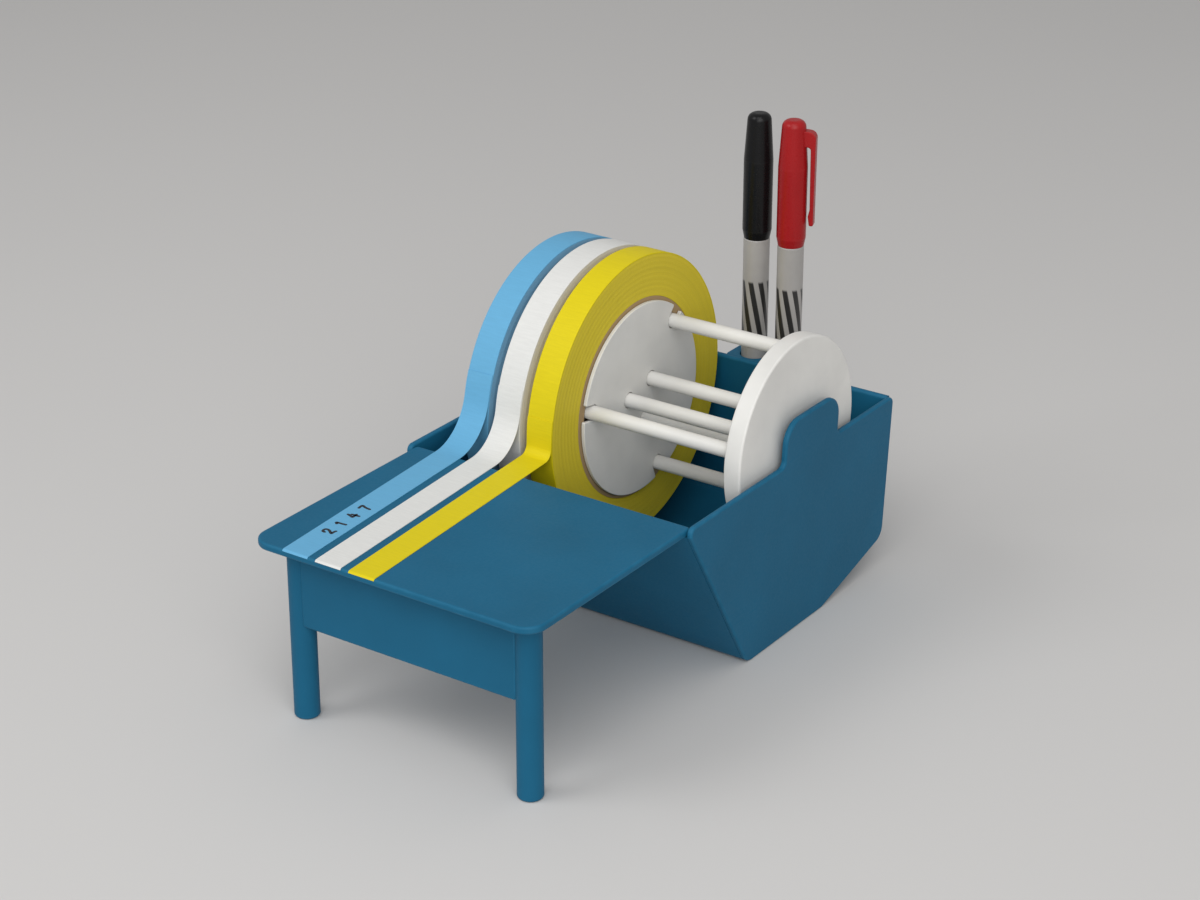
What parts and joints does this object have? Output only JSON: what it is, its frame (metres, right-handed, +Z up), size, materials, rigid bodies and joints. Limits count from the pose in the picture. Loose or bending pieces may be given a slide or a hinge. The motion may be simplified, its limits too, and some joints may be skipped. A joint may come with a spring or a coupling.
{
  "type": "multi-roll label tape dispenser",
  "caption": "Counter-top label tape dispenser: tape rolls on a lift-out cage of rods in an open bin, a writing top on round legs in front, and a holder with capped markers behind.",
  "frame": {"origin": "on the counter surface, under the middle of the whole object", "axes": "+X to the right along the rods, +Y from the writing top back to the markers, +Z up"},
  "size_m": [0.1358, 0.2654, 0.184],
  "materials": {
    "body_blue": "satin moulded sheet",
    "spindle_white": "satin off-white",
    "blue_tape": "matt coated paper tape",
    "white_tape": "matt coated paper tape",
    "yellow_tape": "matt coated paper tape",
    "core_board": "plain wound board",
    "barrel_grey": "smooth, no print",
    "black_felt": "ink-soaked felt",
    "red_felt": "ink-soaked felt",
    "cap_black": "gloss moulded",
    "cap_red": "gloss moulded"
  },
  "bodies": {
    "base": {"writing_top": "body_blue", "front_apron": "body_blue", "left_leg": "body_blue", "right_leg": "body_blue", "bin_trough": "body_blue", "left_side_panel": "body_blue", "right_side_panel": "body_blue", "left_bearing": "body_blue", "right_bearing": "body_blue", "blue_tail": "blue_tape", "white_tail": "white_tape", "yellow_tail": "yellow_tape", "marker_holder": "body_blue"},
    "spindle": {"left_end_plate": "spindle_white", "right_end_plate": "spindle_white", "outer_rod_1": "spindle_white", "outer_rod_2": "spindle_white", "outer_rod_3": "spindle_white", "inner_rod_1": "spindle_white", "inner_rod_2": "spindle_white", "inner_rod_3": "spindle_white"},
    "keeper": {"keeper_disc": "spindle_white"},
    "blue_tape_roll": {"blue_core": "core_board", "blue_roll": "blue_tape"},
    "white_tape_roll": {"white_core": "core_board", "white_roll": "white_tape"},
    "yellow_tape_roll": {"yellow_core": "core_board", "yellow_roll": "yellow_tape"},
    "black_marker": {"black_barrel": "barrel_grey", "black_nib": "black_felt"},
    "red_marker": {"red_barrel": "barrel_grey", "red_nib": "red_felt"},
    "black_marker_cap": {"black_cap": "cap_black"},
    "red_marker_cap": {"red_cap": "cap_red"}
  },
  "joints": [
    {"name": "spindle_lift", "type": "slide", "parent": "base", "child": "spindle", "axis": [0, 0, 1], "range_m": [0, 0.1]},
    {"name": "keeper_slide", "type": "slide", "parent": "spindle", "child": "keeper", "axis": [1, 0, 0], "range_m": [0, 0.0655]},
    {"name": "blue_roll_spin", "type": "hinge", "parent": "spindle", "child": "blue_tape_roll", "pos_m": [0, 0.04765, 0.0818], "axis": [1, 0, 0], "continuous": true},
    {"name": "white_roll_spin", "type": "hinge", "parent": "spindle", "child": "white_tape_roll", "pos_m": [0, 0.04765, 0.0818], "axis": [1, 0, 0], "continuous": true},
    {"name": "yellow_roll_spin", "type": "hinge", "parent": "spindle", "child": "yellow_tape_roll", "pos_m": [0, 0.04765, 0.0818], "axis": [1, 0, 0], "continuous": true},
    {"name": "black_marker_lift", "type": "slide", "parent": "base", "child": "black_marker", "axis": [0, 0, 1], "range_m": [0, 0.12]},
    {"name": "red_marker_lift", "type": "slide", "parent": "base", "child": "red_marker", "axis": [0, 0, 1], "range_m": [0, 0.12]},
    {"name": "black_cap_pull", "type": "slide", "parent": "black_marker", "child": "black_marker_cap", "axis": [0, 0, 1], "range_m": [0, 0.06]},
    {"name": "red_cap_pull", "type": "slide", "parent": "red_marker", "child": "red_marker_cap", "axis": [0, 0, 1], "range_m": [0, 0.06]}
  ]
}
